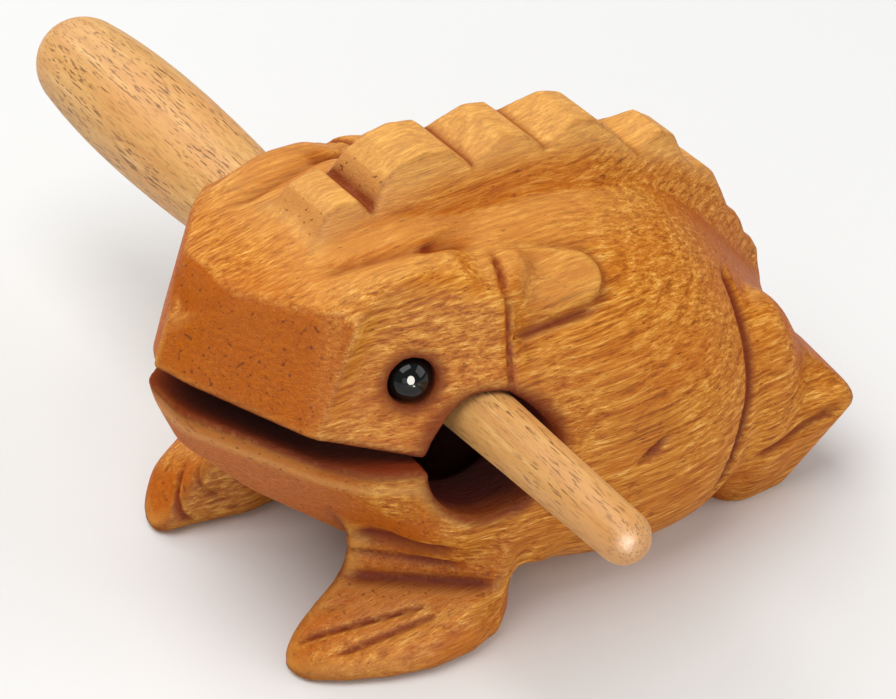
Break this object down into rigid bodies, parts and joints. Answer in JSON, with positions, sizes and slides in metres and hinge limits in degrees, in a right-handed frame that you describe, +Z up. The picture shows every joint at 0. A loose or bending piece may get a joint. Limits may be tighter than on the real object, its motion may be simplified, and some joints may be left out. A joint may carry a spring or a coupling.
{
  "type": "guiro",
  "caption": "Hollow carved wooden frog guiro with a toothed ridge down its back, bead eyes and a turned striker stick stored crosswise through its mouth.",
  "frame": {"origin": "on the surface the frog rests on, under the belly, in the frog's plane of symmetry", "axes": "+Z up, -Y the way the frog faces, +X the frog's left; the stick lies along X with its thin end towards +X"},
  "size_m": [0.1446, 0.0968, 0.0629],
  "materials": {
    "carved_wood": "satin lacquer over carved, stained wood",
    "eye_bead": "polished black",
    "stick_wood": "sanded, lightly lacquered"
  },
  "bodies": {
    "frog": {"frog_body": "carved_wood", "left_eye": "eye_bead", "right_eye": "eye_bead"},
    "striker": {"stick": "stick_wood"}
  },
  "joints": [
    {"name": "stick_slide", "type": "slide", "parent": "frog", "child": "striker", "axis": [-1, 0, 0], "range_m": [0, 0.09]}
  ]
}
